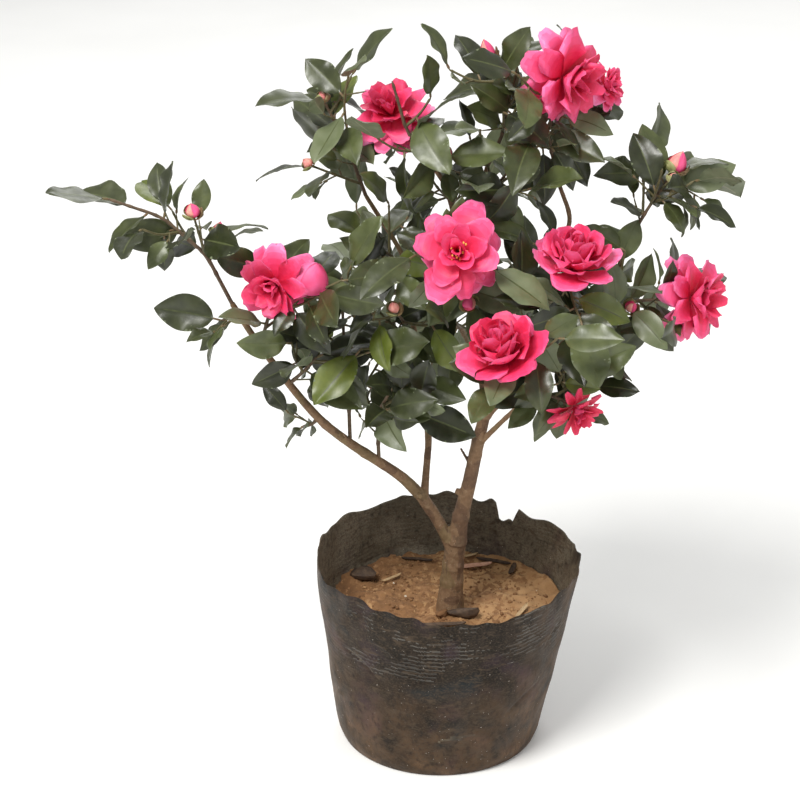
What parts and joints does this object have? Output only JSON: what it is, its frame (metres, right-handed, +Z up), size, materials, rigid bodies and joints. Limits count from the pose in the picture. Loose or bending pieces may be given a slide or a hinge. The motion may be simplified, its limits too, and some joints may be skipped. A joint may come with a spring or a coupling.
{
  "type": "potted camellia shrub",
  "caption": "Young camellia shrub in flower: forked trunk, boughs, glossy leaves, double pink blooms and buds, in a soft black grow bag of soil.",
  "frame": {"origin": "centre of the grow bag's flat underside", "axes": "+Z up along the trunk; +X towards the right stem and the bag's leaning rim, -X towards the long left stem; -Y is the side that the open bloom faces"},
  "size_m": [0.5849, 0.4007, 0.6644],
  "materials": {
    "bag_film": "satin",
    "soil": "matte",
    "bark": "matte",
    "foliage": "satin",
    "blossom": "satin"
  },
  "bodies": {
    "root": {"grow_bag": "bag_film", "soil": "soil", "trunk": "bark", "right_stem": "bark", "left_stem": "bark", "middle_stem": "bark", "crown_stem": "bark", "top_stem": "bark", "right_bough": "bark", "upper_right_bough": "bark", "low_right_bough": "bark", "back_bough": "bark", "left_tip": "foliage", "left_side": "foliage", "left_bloom": "foliage", "left_middle": "foliage", "left_low": "foliage", "left_upright": "foliage", "low_centre": "foliage", "centre_left": "foliage", "inner_left": "foliage", "upper_left": "foliage", "upper_left_bloom": "foliage", "top": "foliage", "top_right": "foliage", "upper_middle": "foliage", "right_top": "foliage", "right": "foliage", "centre": "foliage", "centre_right": "foliage", "low_right": "foliage", "right_low": "foliage", "hanging_right": "foliage", "back_left": "foliage", "back_low": "foliage", "back_right": "foliage", "back_top": "foliage"}
  },
  "joints": []
}
